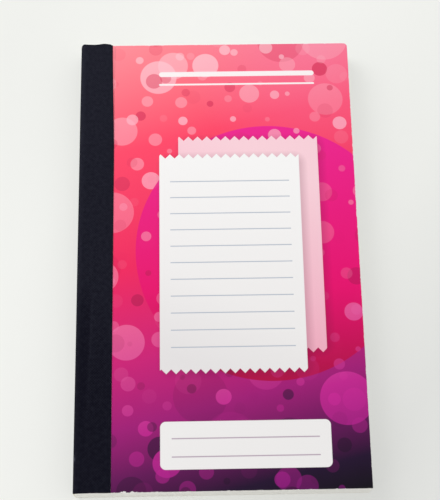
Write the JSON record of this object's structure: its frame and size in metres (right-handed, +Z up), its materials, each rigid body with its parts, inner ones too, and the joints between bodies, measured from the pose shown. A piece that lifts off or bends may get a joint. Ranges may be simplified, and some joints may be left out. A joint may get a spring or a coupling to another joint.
{
  "type": "duplicate receipt book",
  "caption": "Soft-cover duplicate receipt book: sets of perforated white and copy sheets, stitched and taped at the spine, with a cover and leaves that turn and loose carbon sheets.",
  "frame": {"origin": "middle of the face that the closed book lies on, at the underside of the back cover", "axes": "+X from the spine to the fore-edge, +Y from the tail to the head, +Z up through the front cover"},
  "size_m": [0.13, 0.216, 0.0146],
  "materials": {
    "tape_cloth": "matte",
    "printed_card": "satin",
    "back_card": "matte",
    "white_paper": "matte",
    "copy_paper": "matte",
    "carbon_paper": "satin",
    "binding_glue": "satin",
    "stitch_wire": "satin"
  },
  "bodies": {
    "binding": {"back_cover": "back_card", "copy_sheet_001_stub": "copy_paper", "copy_sheet_002_stub": "copy_paper", "copy_sheet_003_stub": "copy_paper", "copy_sheets_004_to_010": "copy_paper", "copy_sheets_011_to_020": "copy_paper", "copy_sheets_021_to_030": "copy_paper", "copy_sheets_031_to_040": "copy_paper", "copy_sheets_041_to_050": "copy_paper", "copy_sheets_051_to_060": "copy_paper", "copy_sheets_061_to_070": "copy_paper", "copy_sheets_071_to_080": "copy_paper", "copy_sheets_081_to_090": "copy_paper", "copy_sheets_091_to_100": "copy_paper", "front_cover_bound_strip": "printed_card", "spine_glue": "binding_glue", "spine_tape": "tape_cloth", "white_sheet_001_stub": "white_paper", "white_sheet_002_stub": "white_paper", "white_sheet_003_stub": "white_paper", "white_sheets_004_to_010": "white_paper", "white_sheets_011_to_020": "white_paper", "white_sheets_021_to_030": "white_paper", "white_sheets_031_to_040": "white_paper", "white_sheets_041_to_050": "white_paper", "white_sheets_051_to_060": "white_paper", "white_sheets_061_to_070": "white_paper", "white_sheets_071_to_080": "white_paper", "white_sheets_081_to_090": "white_paper", "white_sheets_091_to_100": "white_paper", "wire_stitches": "stitch_wire"},
    "front_cover": {"front_cover": "printed_card"},
    "white_sheet_001": {"white_sheet_001": "white_paper"},
    "copy_sheet_001": {"copy_sheet_001": "copy_paper"},
    "white_sheet_002": {"white_sheet_002": "white_paper"},
    "copy_sheet_002": {"copy_sheet_002": "copy_paper"},
    "white_sheet_003": {"white_sheet_003": "white_paper"},
    "copy_sheet_003": {"copy_sheet_003": "copy_paper"},
    "carbon_sheet_1": {"carbon_sheet_1": "carbon_paper"},
    "carbon_sheet_2": {"carbon_sheet_2": "carbon_paper"}
  },
  "joints": [
    {"name": "turn_copy_sheet_003", "type": "hinge", "parent": "binding", "child": "copy_sheet_003", "pos_m": [-0.0484, 0, 0.01456], "axis": [0, -1, 0], "range_deg": [0, 180]},
    {"name": "turn_white_sheet_003", "type": "hinge", "parent": "copy_sheet_003", "child": "white_sheet_003", "pos_m": [-0.0484, 0, 0.01456], "axis": [0, -1, 0], "range_deg": [0, 180]},
    {"name": "turn_copy_sheet_002", "type": "hinge", "parent": "white_sheet_003", "child": "copy_sheet_002", "pos_m": [-0.0484, 0, 0.01456], "axis": [0, -1, 0], "range_deg": [0, 180]},
    {"name": "pull_carbon_sheet_2", "type": "slide", "parent": "copy_sheet_002", "child": "carbon_sheet_2", "axis": [1, 0, 0], "range_m": [0, 0.114]},
    {"name": "turn_white_sheet_002", "type": "hinge", "parent": "copy_sheet_002", "child": "white_sheet_002", "pos_m": [-0.0484, 0, 0.01456], "axis": [0, -1, 0], "range_deg": [0, 180]},
    {"name": "turn_copy_sheet_001", "type": "hinge", "parent": "white_sheet_002", "child": "copy_sheet_001", "pos_m": [-0.0484, 0, 0.01456], "axis": [0, -1, 0], "range_deg": [0, 180]},
    {"name": "pull_carbon_sheet_1", "type": "slide", "parent": "copy_sheet_001", "child": "carbon_sheet_1", "axis": [1, 0, 0], "range_m": [0, 0.114]},
    {"name": "turn_white_sheet_001", "type": "hinge", "parent": "copy_sheet_001", "child": "white_sheet_001", "pos_m": [-0.0484, 0, 0.01456], "axis": [0, -1, 0], "range_deg": [0, 180]},
    {"name": "turn_front_cover", "type": "hinge", "parent": "white_sheet_001", "child": "front_cover", "pos_m": [-0.0484, 0, 0.01456], "axis": [0, -1, 0], "range_deg": [0, 180]}
  ]
}
